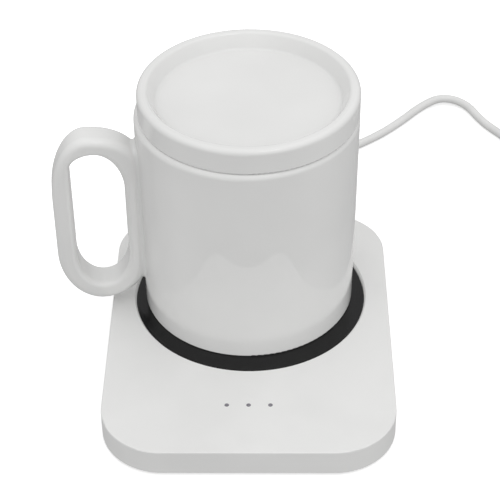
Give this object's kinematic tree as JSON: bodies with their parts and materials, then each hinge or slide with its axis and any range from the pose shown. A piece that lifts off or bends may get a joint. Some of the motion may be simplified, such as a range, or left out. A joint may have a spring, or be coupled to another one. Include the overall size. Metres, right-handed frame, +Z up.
{
  "type": "electric mug warmer",
  "caption": "Flat electric mug warmer with a round sunk hot plate, a USB lead, and a lidded porcelain mug with a ring handle standing on it.",
  "frame": {"origin": "centre of the base's plan, on the table", "axes": "+X right as seen from the indicator side, +Y from the indicators to the cord side, +Z up"},
  "size_m": [0.2756, 0.2446, 0.108],
  "materials": {
    "white_housing": "satin",
    "steel_screws": "satin",
    "grey_rubber": "matt",
    "spring_steel": "satin",
    "green_board": "satin",
    "black_package": "matt",
    "tan_capacitor": "matt",
    "nylon_sockets": "satin",
    "led_package": "gloss",
    "black_inner_plastic": "matt",
    "clear_guide": "gloss",
    "lead_insulation": "satin",
    "white_boot": "satin",
    "white_jacket": "satin",
    "white_tie": "matt",
    "white_plug": "satin",
    "plug_steel": "polished",
    "white_tongue": "satin",
    "gold_contacts": "polished",
    "black_plate": "satin",
    "amber_film": "gloss",
    "grey_felt": "matt",
    "sensor_glass": "gloss",
    "fuse_case": "satin",
    "white_porcelain": "glazed"
  },
  "bodies": {
    "base": {"top_cover": "white_housing", "bottom_cover": "white_housing", "cover_screws": "steel_screws", "rubber_feet": "grey_rubber", "plate_springs": "spring_steel", "circuit_board": "green_board", "board_screws": "steel_screws", "controller_chip": "black_package", "power_transistor": "black_package", "filter_capacitor": "tan_capacitor", "lead_sockets": "nylon_sockets", "indicator_leds": "led_package", "light_shield": "black_inner_plastic", "light_guide": "clear_guide", "touch_spring": "spring_steel", "pressure_switch": "black_package", "sensor_leads": "lead_insulation", "heater_leads": "lead_insulation", "power_leads": "lead_insulation", "strain_relief": "white_boot", "cord_inner_end": "white_jacket", "cord_lead": "white_jacket", "cord_coil": "white_jacket", "cord_tie": "white_tie", "cord_tail": "white_jacket", "plug_body": "white_plug", "plug_shell": "plug_steel", "plug_tongue": "white_tongue", "plug_contacts": "gold_contacts"},
    "plate": {"hot_plate": "black_plate", "heating_film": "amber_film", "insulation_pad": "grey_felt", "plate_carrier": "black_inner_plastic", "temperature_sensor": "sensor_glass", "thermal_fuse": "fuse_case"},
    "plunger": {"switch_plunger": "black_inner_plastic"},
    "mug": {"mug": "white_porcelain"},
    "lid": {"mug_lid": "white_porcelain"}
  },
  "joints": [
    {"name": "plate_travel", "type": "slide", "parent": "base", "child": "plate", "axis": [0, 0, 1], "range_m": [0, 0.0008], "stiffness_N_per_m": 500, "springref_m": 0.0026, "deforming": ["plate_springs", "sensor_leads", "heater_leads"]},
    {"name": "plunger_travel", "type": "slide", "parent": "base", "child": "plunger", "axis": [0, 0, 1], "range_m": [0, 0.0008]},
    {"name": "mug_lift", "type": "slide", "parent": "plate", "child": "mug", "axis": [0, 0, 1], "range_m": [0, 0.08]},
    {"name": "lid_lift", "type": "slide", "parent": "mug", "child": "lid", "axis": [0, 0, 1], "range_m": [0, 0.06]}
  ],
  "couplings": [
    {"joint": "plunger_travel", "follows": "plate_travel", "ratio": 1}
  ]
}
